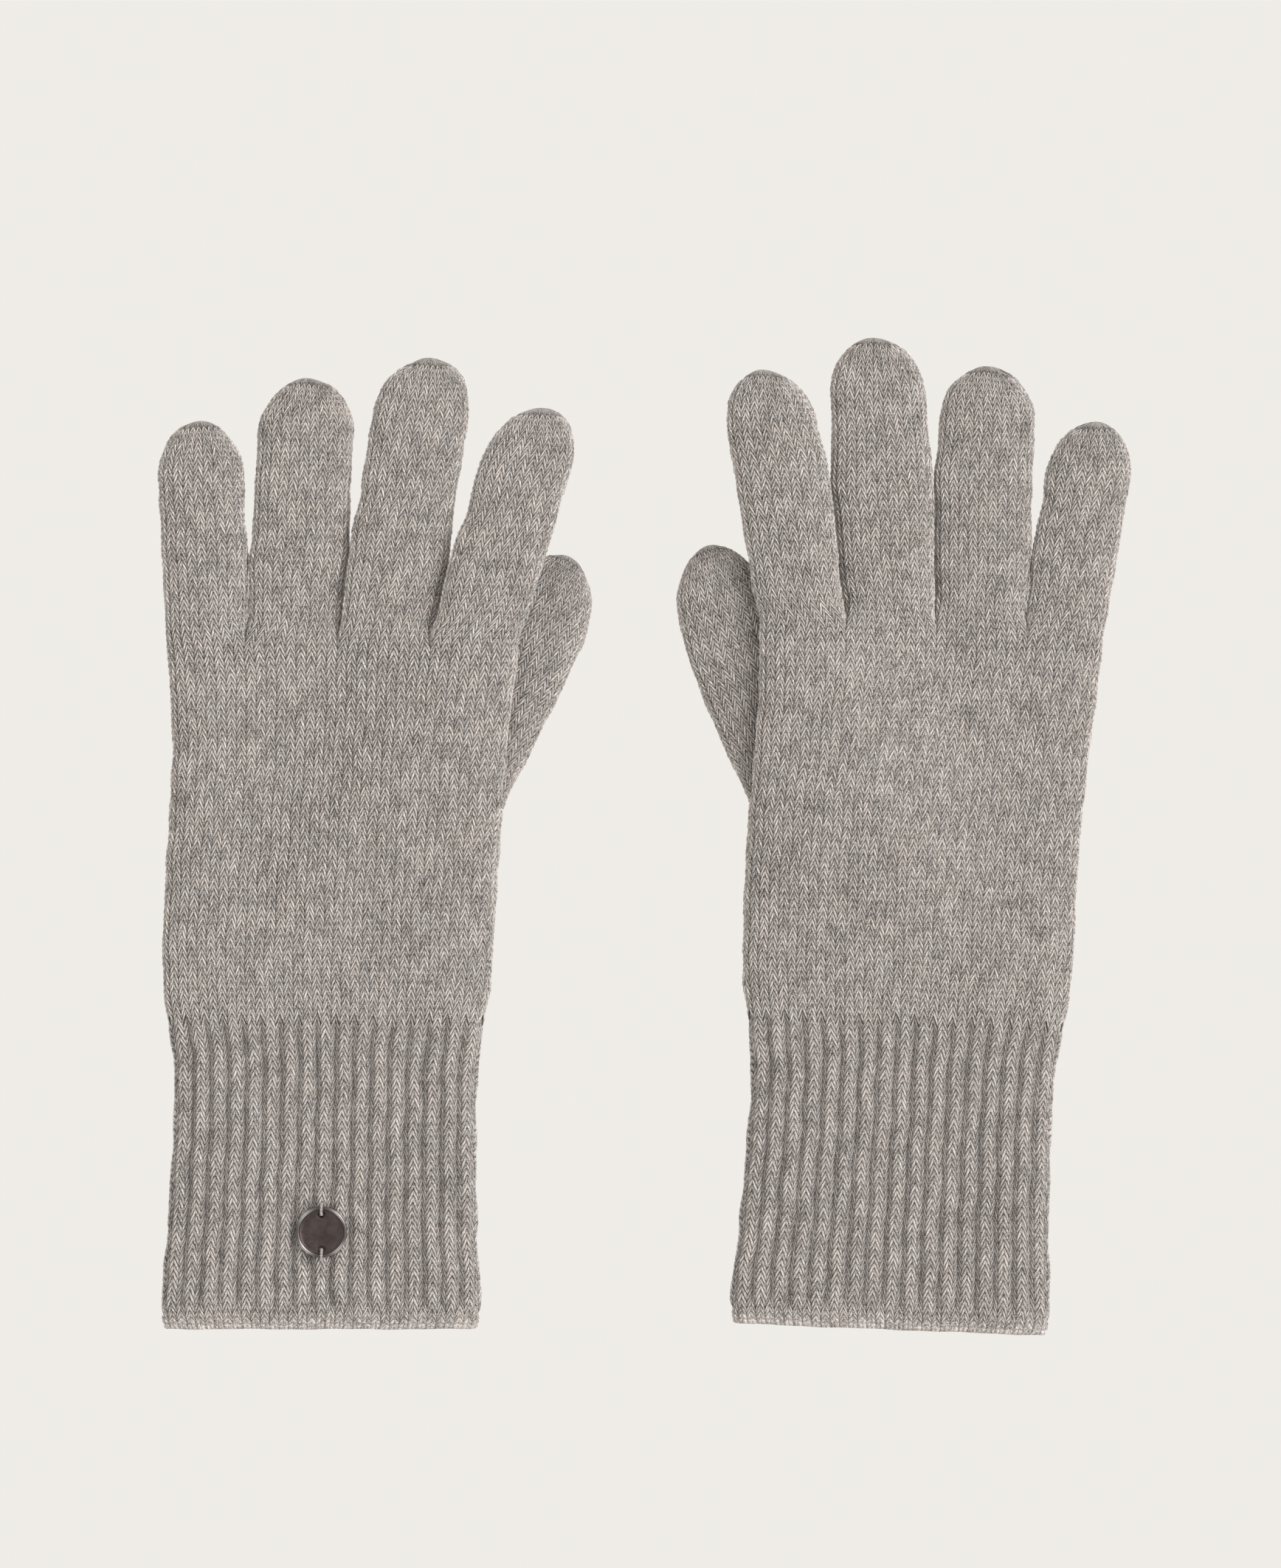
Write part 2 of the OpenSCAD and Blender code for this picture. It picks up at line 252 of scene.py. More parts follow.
def leg_ridge(t, w):
    """Height of the yarn, 0 to 1: an arch across the leg times an arch along it.

    Across the leg it is sin(pi w)^0.75. Along it, from the wale's middle (q = 0) to its
    edge (q = 1), it is 0.9 sqrt(4q(1-q)) + 0.35 (1-q)^3.
    """
    q = np.abs(2 * (t % 1) - 1)
    across = np.abs(np.sin(np.pi * w)) ** 0.75
    along = 0.9 * np.sqrt(np.clip(4 * q * (1 - q), 0, 1)) + 0.35 * (1 - q) ** 3
    return across * along


def zigzag(t):
    """How far a row has dropped at wale t, in courses: 0 on a wale's middle, 1.7 at its edges."""
    return LEG_RISE * np.abs(t % 1 - 0.5)


def round_end(s, length, rounding, x):
    """A tube's rounded end: distance along the tube, share of the width, share of the depth.

    The sides follow a quarter of an ellipse by an angle, 0 to TIP_TURN. The rows arch more
    and more, by the fourth power of the angle, so that the last one lies on the ellipse.
    """
    turn = np.clip((s - length + rounding) / rounding, 0, TIP_TURN)
    arch = np.sqrt(1 - (np.cos(turn) * x) ** 2) - np.sin(turn)
    end = np.sin(turn) + arch * (turn / TIP_TURN) ** 4
    reach = np.where(s > length - rounding, length - rounding + rounding * end, s)
    return reach, np.cos(turn), np.sqrt(1 - (TIP_THINNING * turn / TIP_TURN) ** 2)


def row_ends(points, level):
    """The least and the most x of a tube's first row of points, which lie below a level."""
    row = points[points[:, 1] < level, 0]
    return row.min(), row.max()


def lessened(inset, narrow, deep):
    """An inset across a tube and one down it, where the tube ends: the first is at most three
    times its own share of the width, the second at most 0.8 of the depth."""
    return inset * np.minimum(1, 3 * narrow), np.minimum(inset, 0.8 * deep)


class Glove:
    """One glove's frame, and its smooth surfaces before they are knitted."""

    def __init__(self, side):
        self.side = side
        self.mirrored = side == "right"
        wrist = JOINTS[side + "_wrist"]
        axis = np.array(wrist["axis"], float)
        self.x_way = axis if self.mirrored else -axis
        self.y_way = np.cross(axis, (0, 0, 1))
        self.origin = np.array([wrist["pos_m"][0], wrist["pos_m"][1], 0.0])
        self.origin = self.origin + self.y_way * self.node("cuff_welt")[:, 1].min() * MM
        self.measure()

    def node(self, name):
        """The CAD node's points in the glove's own frame."""
        mesh = frame["nodes"][f"{self.side}_{name}"].data
        points = np.zeros(len(mesh.vertices) * 3)
        mesh.vertices.foreach_get("co", points)
        return self.to_glove(points.reshape(-1, 3))

    def to_glove(self, points):
        """From the frame's metres to the glove's millimetres."""
        moved = np.asarray(points, float) - self.origin
        return np.stack([moved @ self.x_way, moved @ self.y_way, moved[..., 2]], -1) / MM

    def to_world(self, points):
        """From the glove's millimetres to the frame's metres."""
        points = np.asarray(points, float) * MM
        flat = points[..., :1] * self.x_way + points[..., 1:2] * self.y_way
        return self.origin + flat + points[..., 2:] * np.array([0, 0, 1.0])

    def joint(self, name):
        """A joint's place in the glove's own frame."""
        return self.to_glove(JOINTS[f"{self.side}_{name}"]["pos_m"])

    def measure(self):
        """Reads the glove's lines from the frame: edges and thickness up the cuff and hand,
        where the thumb and fingers leave it, and how far the hand rises over the thumb."""
        levels = []
        edges = []
        for name in ("cuff_welt", "rib_cuff", "lower_palm", "upper_palm"):
            points = self.node(name)
            rows = np.round(points[:, 1], 2)
            for level in np.unique(rows):
                across = points[rows == level, 0]
                if not levels or level > levels[-1] + 1:
                    levels.append(level)
                    edges.append((across.min(), across.max()))
        self.root = self.joint("ring_knuckle")[1]
        levels.append(self.root)
        edges.append((row_ends(self.node("little_base"), self.root + ROOT_MARGIN)[0],
                      row_ends(self.node("index_base"), self.root + ROOT_MARGIN)[1]))
        self.levels = np.array(levels)
        self.edges = np.array(edges)
        self.cuff_top = self.node("rib_cuff")[:, 1].max()
        self.cuff_deep = self.node("rib_cuff")[:, 2].max() / 2
        self.deep = self.joint("ring_knuckle")[2]
        self.thumb_corner = self.joint("thumb_swing")
        self.wrist = self.joint("wrist")[1]
        self.lift_full = self.joint("index_knuckle")[2] - self.deep
        self.index_x = self.joint("index_knuckle")[0]
        thumb_way = np.cross(JOINTS[self.side + "_thumb_bend"]["axis"], (0, 0, 1))
        self.thumb_way = np.array([thumb_way @ self.x_way, thumb_way @ self.y_way])
        thumb = self.in_thumb(self.node("thumb_tip"))
        self.thumb_width = -thumb[:, 0].min()
        self.thumb_length = thumb[:, 1].max()
        self.thumb_foot = self.thumb_corner[0] - self.thumb_width / self.thumb_way[1]
        half = np.ptp(self.edges[len(self.edges) // 2]) / 2
        self.oval = Oval(half, self.deep, HAND_SQUARE)
        self.lines = {name: self.finger_line(name) for name in FINGERS}

    def finger_line(self, name):
        """A finger's middle at its root, its lean, and its half widths at root and fan level."""
        knuckle = self.joint(name + "_knuckle")
        bend = self.joint(name + "_bend")
        root = np.ptp(row_ends(self.node(name + "_base"), self.root + ROOT_MARGIN))
        fan = np.ptp(row_ends(self.node(name + "_tip"), bend[1] + BEND_MARGIN))
        lean = (bend[0] - knuckle[0]) / (bend[1] - knuckle[1])
        return knuckle[0], lean, root / 2, fan / 2 + FINGER_FULLNESS[name]

    def finger_edges(self, number, reach):
        """A finger's two edges at a distance above its root, from its own line alone."""
        middle, lean, root_half, half = self.lines[FINGERS[number]]
        half = root_half + (half - root_half) * np.clip(reach / FAN_LEVEL, 0, 1)
        return middle + lean * reach - half, middle + lean * reach + half

    def parted(self, number, reach):
        """The facing edges of fingers number and number + 1: both a hair from the line midway
        between them up to their touching height, then out to their own edges."""
        left = self.finger_edges(number, reach)[1]
        right = self.finger_edges(number + 1, reach)[0]
        share = ease((reach - TOUCH[self.side][number]) / PARTING)
        gap = CLOSE_GAP + (right - left - CLOSE_GAP) * share
        return (left + right - gap) / 2, (left + right + gap) / 2

    def in_thumb(self, points):
        """From the glove's frame to the thumb's: x out of its outer edge, y along that edge."""
        moved = points[:, :2] - self.thumb_corner[:2]
        sin, cos = self.thumb_way
        return np.stack([moved[:, 0] * cos - moved[:, 1] * sin, moved @ self.thumb_way], -1)

    def lift(self, x, y):
        """How far the hand rises over the thumb: smooth steps up the glove and across it."""
        rise = self.wrist + RISE_START
        up = (y - rise) / (self.thumb_corner[1] - rise)
        ahead = (y - self.thumb_corner[1]) / (self.root - self.thumb_corner[1])
        start = self.thumb_foot - SLOPE_FROM + SLOPE_SHIFT * ahead
        low = self.thumb_foot - SLOPE_TO
        end = low + ahead * (self.index_x - low)
        return self.lift_full * ease(up) * ease((x - start) / (end - start))

    def body(self, t, y, inset):
        """Surface of the cuff and hand: a flat oval at each level between the two edges.

        Below the thumb the underside stays on the table while the top rises; above it the
        whole tube rises. The mouth's edge curls in by a quarter circle.
        """
        part = (t + EDGE_WALES / 2) / WALES
        x, z = self.oval.at(part)
        left = smooth_line(self.levels, self.edges[:, 0], y)
        right = smooth_line(self.levels, self.edges[:, 1], y)
        thinned = ease((y - self.cuff_top + THINNING_START) / THINNING)
        deep = self.cuff_deep + (self.deep - self.cuff_deep) * thinned
        curl = 1 - np.sqrt(1 - np.clip(1 - y / MOUTH_CURL, 0, 1) ** 2)
        inset = inset + (RIB_WALL / 2 + LEG_HEIGHT - inset) * curl
        x = (left + right) / 2 + ((right - left) / 2 - inset) * x
        z = deep + (deep - inset) * z
        above = ease((y - self.thumb_corner[1] + LEAVING_START) / LEAVING)
        share = above + (1 - above) * z / (2 * deep)
        points = np.stack([x, y, z + self.lift(x, y) * share], -1)
        return points + self.wander(x, y, z > deep)

    def rib_share(self, y):
        """How much of the rib there is: none in the welt and none on the hand."""
        above_welt = ease((y - RIB_START) / RIB_FADE)
        return above_welt * ease((self.cuff_top + RIB_OVERRUN - y) / RIB_FADE)

    def ribbed(self, t, y, inset):
        """The body's surface with the raised wales spread over their sunken neighbours, by
        a sine of the wale."""
        spread = RIB_SPREAD / np.pi * np.sin(np.pi * (t - 0.5)) * self.rib_share(y)
        return self.body(t + spread, y, inset)

    def wander(self, x, y, top):
        """The small waves of cloth that lies loosely: sums of sines of the place."""
        turn = np.where(top, 0.0, 2.1)
        across = 0.16 * np.sin(0.31 * y + 0.07 * x + turn) + 0.10 * np.sin(0.53 * y - 0.19 * x)
        along = 0.22 * np.sin(0.24 * x + 0.09 * y + turn) + 0.12 * np.sin(0.61 * x - 0.13 * y)
        up = 0.16 * np.sin(0.13 * x + 0.17 * y) * np.sin(0.11 * y - 0.09 * x + turn)
        fade = 0.4 + 0.6 * ease(y / 8)
        return np.stack([across * fade, along * fade, np.where(top, up, 0) * fade], -1)


class Tube:
    """What a finger and the thumb share: wales, courses and a flat oval."""

    def __init__(self, glove, wales, length, rounding, half):
        self.glove = glove
        self.front, self.low_side, self.high_side = wales
        self.wales = 2 * self.front + self.low_side + self.high_side
        self.length = length
        self.oval = Oval(half, glove.deep, FINGER_SQUARE)
        path = length + rounding * (TIP_TURN - 1)
        self.courses = int(round(path / FINGER_COURSE))
        self.course = path / self.courses


class Finger(Tube):
    """A finger's surface: the hand's own section at its root, and a flat oval above it."""

    def __init__(self, glove, name):
        tip = glove.node(name + "_tip")
        apex = tip[tip[:, 1].argmax()]
        super().__init__(glove, FINGER_WALES[name], apex[1] - glove.root, TIP_ROUND,
                         glove.lines[name][3])
        self.name = name
        self.number = FINGERS.index(name)
        self.knuckle = glove.joint(name + "_knuckle")
        self.bend = glove.joint(name + "_bend")
        self.crease = self.bend[1] - self.knuckle[1]
        self.slope = (self.knuckle[2] - apex[2]) / (self.length - self.crease)

    def root_section(self, t, s, inset):
        """The hand's surface carried on past the root; between two fingers a straight strip
        joins its front and back."""
        glove = self.glove
        y = glove.root + s
        start = FINGER_START[self.name]
        front_end = start + self.front
        back_start = FRONT_WALES + EDGE_WALES + FRONT_WALES - front_end
        back = back_start + np.clip(t - self.front - self.high_side, 0, self.front)
        top = glove.body(start + np.clip(t, 0, self.front), y, inset)
        under = glove.body(back, y, inset)
        down = np.clip((t - self.front) / self.high_side, 0, 1)
        up = np.clip((t - 2 * self.front - self.high_side) / self.low_side, 0, 1)
        if self.name == "index":
            edge = glove.body(FRONT_WALES + down * EDGE_WALES, y, inset)
            points = np.where((down > 0)[..., None], edge, top)
        else:
            front_corner = glove.body(np.full_like(t, front_end), y, inset)
            back_corner = glove.body(np.full_like(t, back_start), y, inset)
            points = top + (back_corner - front_corner) * down[..., None]
        points = np.where((t >= self.front + self.high_side)[..., None], under, points)
        if self.name == "little":
            edge = glove.body(WALES - EDGE_WALES + up * EDGE_WALES, y, inset)
        else:
            front_corner = glove.body(np.full_like(t, start), y, inset)
            edge = under + (front_corner - under) * up[..., None]
        return np.where((up > 0)[..., None], edge, points)

    def edges(self, reach):
        """The finger's two edges, where it lies against its neighbours and beyond."""
        low, high = self.glove.finger_edges(self.number, reach)
        if self.name != "little":
            low = self.glove.parted(self.number - 1, reach)[1]
        if self.name != "index":
            high = self.glove.parted(self.number, reach)[0]
        return low, high

    def surface(self, t, s, inset):
        """Turns the root's section into the finger's own oval over ROOT_MIX, follows the
        finger's edges, slopes down to the table past the crease and rounds off at the tip."""
        t = t % self.wales
        x, z = self.oval.at((t + self.low_side / 2) / self.wales)
        reach, narrow, thin = round_end(s, self.length, TIP_ROUND, x)
        low, high = self.edges(reach)
        deep = self.glove.deep * thin
        across_inset, down_inset = lessened(inset, narrow, deep)
        middle = self.knuckle[2] - self.slope * soft_ramp(reach - self.crease, CREASE_ROUND)
        middle = middle - TIP_SINK * (self.glove.deep - deep)
        across = (low + high) / 2 + ((high - low) / 2 * narrow - across_inset) * x
        points = np.stack([across, self.glove.root + reach, middle + (deep - down_inset) * z], -1)
        points = points + self.glove.wander(points[..., 0], points[..., 1], z > 0)
        if np.any(s < ROOT_MIX):
            mix = ease(s / ROOT_MIX)[..., None]
            root = self.root_section(t, np.minimum(s, ROOT_MIX), inset)
            points = points * mix + root * (1 - mix)
        return points

    def level(self, t, w):
        """Distance along the finger at course w. Rows zigzag, but the strips between two
        fingers start level with the rows' lowest points, and the last row is straight."""
        t = t % self.wales
        drop = zigzag(t)
        low = (t > 2 * self.front + self.high_side) & (self.name != "little")
        high = (t > self.front) & (t < self.front + self.high_side) & (self.name != "index")
        start = ease(w / 4)
        drop = np.where(low | high, drop * start + LEG_RISE / 2 * (1 - start), drop)
        drop = drop * ease((self.courses - w) / 3)
        return self.course * (w - drop)


class Thumb(Tube):
    """The thumb's surface, in its own frame: a flat oval cut off along the hand's last row."""

    def __init__(self, glove):
        self.half = glove.thumb_width / 2
        super().__init__(glove, THUMB_WALES, glove.thumb_length, THUMB_ROUND, self.half)

    def surface(self, t, s, inset):
        """An oval whose outer edge bows a little and whose rows slant with the hand's last row
        at the root, less and less over SLANT_LENGTH. Below the root it tucks into the hand."""
        x, z = self.oval.at((t + self.low_side / 2) / self.wales)
        reach, narrow, thin = round_end(s, self.length, THUMB_ROUND, x)
        deep = self.glove.deep * thin
        tucked = inset + TUCK * ease(-s / TUCK_LENGTH)
        across_inset, down_inset = lessened(tucked, narrow, deep)
        bow = THUMB_BOW[self.glove.side] * np.sin(np.pi * np.clip(reach / self.length, 0, 1))
        across = bow - self.half + (self.half * narrow - across_inset) * x
        slant = self.glove.thumb_way[0] / self.glove.thumb_way[1]
        along = reach + across * slant * np.clip(1 - reach / SLANT_LENGTH, 0, 1.2)
        up = self.glove.deep - TIP_SINK * (self.glove.deep - deep) + (deep - down_inset) * z
        sin, cos = self.glove.thumb_way
        corner = self.glove.thumb_corner
        points = np.stack([
            corner[0] + across * cos + along * sin, corner[1] - across * sin + along * cos, up
        ], -1)
        return points + self.glove.wander(points[..., 0], points[..., 1], z > 0)

    def level(self, t, w):
        """Distance along the thumb at course w: zigzag rows, straight at both ends."""
        drop = zigzag(t) * ease((self.courses - w) / 3) * ease((w + 1) / 3)
        return self.course * (w - drop)


def normals(surface, t, s, inset):
    """Unit normals from the surface's slopes along the wales and the courses."""
    step = 0.02
    along = surface(t, s + step, inset) - surface(t, s - step, inset)
    across = surface(t + step, s, inset) - surface(t - step, s, inset)
    out = np.cross(across, along)
    return out / np.linalg.norm(out, axis=-1, keepdims=True)


def plain_relief(seed, wales, courses):
    """Relief of plain knit: each leg is a ridge, some a little fuller than others."""
    table = leg_fullness(seed, courses, wales)

    def relief(t, w, s):
        fuller = leg_of(t, w, wales, table)
        # The second value, each leg's fullness, is also its painted shade: fuller legs lighter
        return LEG_HEIGHT * leg_ridge(t, w) * fuller, fuller

    return relief


def rib_relief(glove, seed):
    """Relief of one-by-one rib: every other wale sinks by a smooth wave, which fades out at
    the welt and at the hand. The welt is a low roll over its own height, then a groove."""
    table = leg_fullness(seed, int(glove.cuff_top / COURSE), WALES)

    def relief(t, w, s):
        wave = 0.5 - 0.5 * np.cos(np.pi * (t - 0.5))
        valley = wave ** 1.9 * glove.rib_share(s)
        ridge = leg_ridge(t, w) * (1 - 0.45 * valley)
        fuller = leg_of(t, w, WALES, table)
        roll = WELT_ROLL * np.sin(np.pi * np.clip(s / WELT_HEIGHT, 0, 1))
        groove = GROOVE_DEPTH * np.exp(-((s - GROOVE_AT) / GROOVE_WIDTH) ** 2)
        height = LEG_HEIGHT * ridge * fuller - RIB_DEPTH * valley + roll - groove
        # The second value is painted shade: each leg's fullness, darker in the rib's valleys
        return height, fuller * (1 - 0.5 * valley)

    return relief


def grid_faces(first, rows, columns, outward):
    """Quads between the rows of a grid that closes round its columns, and their corners'
    places in it as (row, column), where the column isn't wrapped."""
    row, column = np.meshgrid(np.arange(rows - 1), np.arange(columns), indexing="ij")
    row = row.ravel()
    column = column.ravel()
    rows_at = np.stack([row, row, row + 1, row + 1], 1)
    columns_at = np.stack([column, column + 1, column + 1, column], 1)
    if not outward:
        rows_at = rows_at[:, ::-1]
        columns_at = columns_at[:, ::-1]
    return first + rows_at * columns + columns_at % columns, rows_at, columns_at


def stitch_uv(columns_at, course):
    """The stitch map's pairs for corners at these columns, all at one course."""
    return columns_at[..., None] / COLUMNS * (1, 0) + (0, course)


def ring_faces(columns, below, above, course):
    """A ring of quads from the points numbered on from below to those on from above."""
    k = np.arange(columns)
    nxt = (k + 1) % columns
    faces = np.stack([below + k, below + nxt, above + nxt, above + k], 1)
    return faces, stitch_uv(np.stack([k, k + 1, k + 1, k], 1), course)


def closing_faces(columns, base, left, outward, course):
    """A row's points, numbered on from base, closed along a line that starts at column left:
    quads from each point of the front to the one of the back below it, and two end triangles."""
    way = np.arange(1, columns // 2 - 1)
    front = base + (left + way) % columns
    front_next = base + (left + way + 1) % columns
    back = base + (left - way) % columns
    back_next = base + (left - way - 1) % columns
    right = base + (left + columns // 2) % columns
    quads = np.stack([front, front_next, back_next, back], 1)
    threes = np.array([
        [base + left % columns, front[0], back[0]], [front_next[-1], right, back_next[-1]]
    ])
    if not outward:
        quads = quads[:, ::-1]
        threes = threes[:, ::-1]
    columns_at = np.stack([left + way, left + way + 1, left + way + 1, left + way], 1)
    return quads, stitch_uv(columns_at, course), threes


def knit(name, glove, surface, level, wales, courses, relief, kind, low_side=0):
    """A closed shell of knit between two courses, in its wool: the stitched outside,
    a plain inside, and a rim at each open end. Where low_side is given the end is closed along
    a line, and its relief and its painted shade lines where legs cross end CLOSED_COURSES before
    it."""
    material, slot, wall = kind
    start, end = courses
    columns = wales * COLUMNS
    t_at = np.arange(columns) / COLUMNS
    outer_w = np.arange(round(start * ROWS), round(end * ROWS) + 1) / ROWS
    inner_w = np.unique(np.append(np.arange(start, end, INNER_STEP), end))
    t, w = np.meshgrid(t_at, outer_w)
    s = level(t, w)
    height, shade = relief(t, w, s)
    outer_v = outer_w
    if low_side:
        closed = ease(w - end + CLOSED_COURSES)
        height = height + (0.6 * LEG_HEIGHT - height) * closed
        outer_v = np.minimum(outer_w, end - CLOSED_COURSES)
    points = surface(t, s, LEG_HEIGHT)
    points = points + normals(surface, t, s, LEG_HEIGHT) * height[..., None]
    t_in, w_in = np.meshgrid(t_at, inner_w)
    inner = surface(t_in, level(t_in, w_in), LEG_HEIGHT + wall)
    points = np.concatenate([points.reshape(-1, 3), inner.reshape(-1, 3)])
    # Painted shade for each point: the relief's on the outside, a darker one inside
    shades = np.concatenate([shade.ravel(), np.full(t_in.size, INNER_PAINTED_SHADE)])

    first_in = len(outer_w) * columns
    last = first_in - columns
    last_in = len(points) - columns
    outside, row, column = grid_faces(0, len(outer_w), columns, True)
    outside_uv = np.stack([column / COLUMNS, outer_v[row]], -1)
    inside, row, column = grid_faces(first_in, len(inner_w), columns, False)
    inside_uv = np.stack([column / COLUMNS, inner_w[row]], -1)
    rim, rim_uv = ring_faces(columns, first_in, 0, start)
    quads = [outside, inside, rim]
    quads_uv = [outside_uv, inside_uv, rim_uv]
    threes = [np.zeros((0, 3), int)]
    if low_side:
        for base, outward in ((last, True), (last_in, False)):
            strips, strips_uv, ends = closing_faces(
                columns, base, -low_side * COLUMNS // 2, outward, end - CLOSED_COURSES)
            quads.append(strips)
            quads_uv.append(strips_uv)
            threes.append(ends)
    else:
        rim, rim_uv = ring_faces(columns, last, last_in, end)
        quads.append(rim)
        quads_uv.append(rim_uv)

    quads = np.concatenate(quads)
    quads_uv = np.concatenate(quads_uv)
    threes = np.concatenate(threes)
    threes_uv = np.full((len(threes), 3, 2), (0.25, end - CLOSED_COURSES))
    if glove.mirrored:
        quads = quads[:, ::-1]
        quads_uv = quads_uv[:, ::-1]
        threes = threes[:, ::-1]
    piece = add_piece(f"{glove.side}_{name}_knit", glove.to_world(points), quads, threes)
    corners = np.concatenate([quads_uv.reshape(-1, 2), threes_uv.reshape(-1, 2)])
    give_uv(piece, "stitches", corners)
    # The points' painted shade, for the wool to read
    give_values(piece, "painted_yarn_shade", shades)
    finish(piece, material, slot, f"{glove.side}_{name}")
    return piece


def add_piece(name, points, quads, threes=()):
    """A smooth mesh of four-sided and then three-sided faces, at points in metres."""
    mesh = bpy.data.meshes.new(name)
    mesh.from_pydata(points.tolist(), [], quads.tolist() + np.asarray(threes).tolist())
    mesh.polygons.foreach_set("use_smooth", np.ones(len(mesh.polygons), bool))
    mesh.update()
    piece = bpy.data.objects.new(name, mesh)
    bpy.context.scene.collection.objects.link(piece)
    return piece


def give_uv(piece, name, corners):
    """A UV map with one pair for each corner of each face."""
    layer = piece.data.uv_layers.new(name=name)
    layer.data.foreach_set("uv", np.asarray(corners, np.float32).ravel())


def give_values(piece, name, values):
    """A number for each point, for the material to read."""
    attribute = piece.data.attributes.new(name, "FLOAT", "POINT")
    attribute.data.foreach_set("value", np.asarray(values, np.float32))


def finish(piece, material, slot, node):
    """Gives a piece its material and hides the CAD node that it stands for. The slot is not used.
    """
    piece.data.materials.append(material)
    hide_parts(node)


# ---------------------------------------------------------------- button and its yarn

def half_face(radius, thick):
    """Half of the button round one hole, as rows of a loop: from the underside's edge in to
    the hole, up its wall, over its softened lip, and out along the dished face.

    The loop is a half circle and its diameter. Each row lies a share of the way from the
    hole's circle, widened by a lip, to the loop, towards the same points of the loop. The
    face is dished by DISH_DEPTH (1 - r^2), where r is 1 at its edge.
    """
    turn = np.linspace(0, np.pi, 49)
    line = np.linspace(-radius, radius, 21)[1:-1]
    loop = np.concatenate([
        np.stack([radius * np.cos(turn), radius * np.sin(turn)], 1),
        np.stack([line, np.zeros_like(line)], 1)
    ])
    way = loop - (0, HOLE_OFFSET)
    distance = np.linalg.norm(way, axis=1, keepdims=True)
    face = thick - FACE_SUNK
    rows = [(1, 0, 0.0), (0.5, 0, 0.0), (0, 0, 0.0), (0, 0, face * 0.5), (0, 0, face - 0.16),
            (0, 0.04, face - 0.05), (0, 0.15, face), (0.25, 0.1, face), (0.5, 0.05, face),
            (0.75, 0, face), (1, 0, face)]
    points = []
    for share, lip, height in rows:
        out = HOLE_RADIUS + lip + (distance - HOLE_RADIUS) * share
        flat = (0, HOLE_OFFSET) + way / distance * out
        from_centre = np.linalg.norm(flat, axis=1) / radius
        dish = DISH_DEPTH * (height >= face - 0.06)
        points.append(np.column_stack([flat, height - dish * (1 - from_centre ** 2)]))
    return np.array(points)


def make_button(glove):
    """The button: two half faces with a hole each, and a turned rim joined to both. Each
    point of the rim's profile has its radius, its height and its share of painted highlight."""
    cad = glove.node("button")
    low = cad.min(axis=0)
    radius = np.ptp(cad[:, 0]) / 2
    thick = np.ptp(cad[:, 2])
    face = thick - FACE_SUNK
    inner = radius - RIM_WIDTH
    half = half_face(inner, thick)
    profile = np.array([
        (inner, 0, 0), (radius - 0.5, 0, 0), (radius - 0.2, 0.12, 0), (radius - 0.04, 0.36, 0),
        (radius, 0.7, 0), (radius, thick - 0.55, 0.1), (radius - 0.03, thick - 0.3, 0.5),
        (radius - 0.14, thick - 0.1, 1), (radius - 0.32, thick, 0.4), (radius - 0.5, thick, 0.3),
        (radius - 0.68, thick - 0.08, 0.9), (radius - 0.82, thick - 0.24, 0.3),
        (radius - 0.93, face + 0.05, 0), (inner, face, 0)
    ])
    turn = np.linspace(0, 2 * np.pi, 97)[:-1]
    rim = np.stack([
        profile[:, :1] * np.cos(turn), profile[:, :1] * np.sin(turn),
        np.repeat(profile[:, 1:2], len(turn), 1)
    ], -1)
    # Painted highlight on the rim, brightest in four arcs round it
    rim_painted_highlight = profile[:, 2:] * (0.1 + 0.9 * np.sin(2 * turn) ** 4)
    points = np.zeros((0, 3))
    quads = []
    for grid in (half, half * (-1, -1, 1), rim):
        quads.append(grid_faces(len(points), grid.shape[0], grid.shape[1], True)[0])
        points = np.concatenate([points, grid.reshape(-1, 3)])
    # Painted highlight values: none on the two faces, the rim's own on the rim
    painted_highlight = np.concatenate([np.zeros(len(points) - rim_painted_highlight.size), rim_painted_highlight.ravel()])
    centre = np.array([low[0] + radius, low[1] + radius, low[2]])
    piece = add_piece("left_button_metal", glove.to_world(points + centre), np.concatenate(quads))
    give_values(piece, "painted_highlight", painted_highlight)
    work = bmesh.new()
    work.from_mesh(piece.data)
    bmesh.ops.remove_doubles(work, verts=work.verts, dist=1e-6)
    bmesh.ops.recalc_face_normals(work, faces=work.faces)
    work.to_mesh(piece.data)
    work.free()
    finish(piece, gunmetal("gunmetal", glove.to_world(centre)), "button_metal", "left_button")
    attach(piece, "left_cuff")
    return centre, radius, thick


